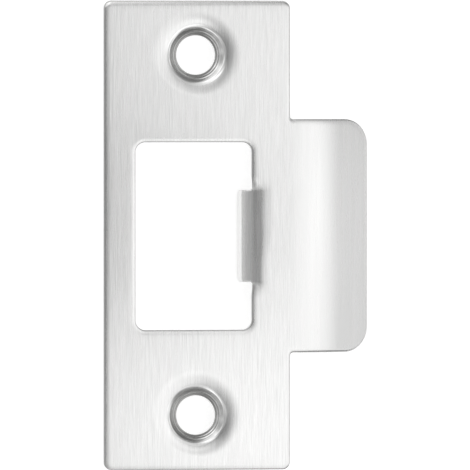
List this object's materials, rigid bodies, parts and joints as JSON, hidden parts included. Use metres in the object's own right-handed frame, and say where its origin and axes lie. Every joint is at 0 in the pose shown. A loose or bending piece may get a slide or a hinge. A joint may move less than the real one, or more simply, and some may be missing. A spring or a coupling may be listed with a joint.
{
  "type": "door latch strike plate",
  "caption": "Flat pressed-steel strike plate for a door latch, with dimpled countersunk screw holes, a rectangular latch opening with a bent-back tongue, and a curved lip along one side.",
  "frame": {"origin": "middle of the plate's flat back face, midway between the two screw holes", "axes": "+Z out of the front face towards the door, +Y along the plate's length, +X towards the curved lip; the plate lies on its back"},
  "size_m": [0.0402, 0.07, 0.0044],
  "materials": {
    "brushed_stainless": "bright satin stainless steel, brushed along the plate's length, with smoother sheared edges"
  },
  "bodies": {
    "root": {"strike_plate": "brushed_stainless"}
  },
  "joints": []
}
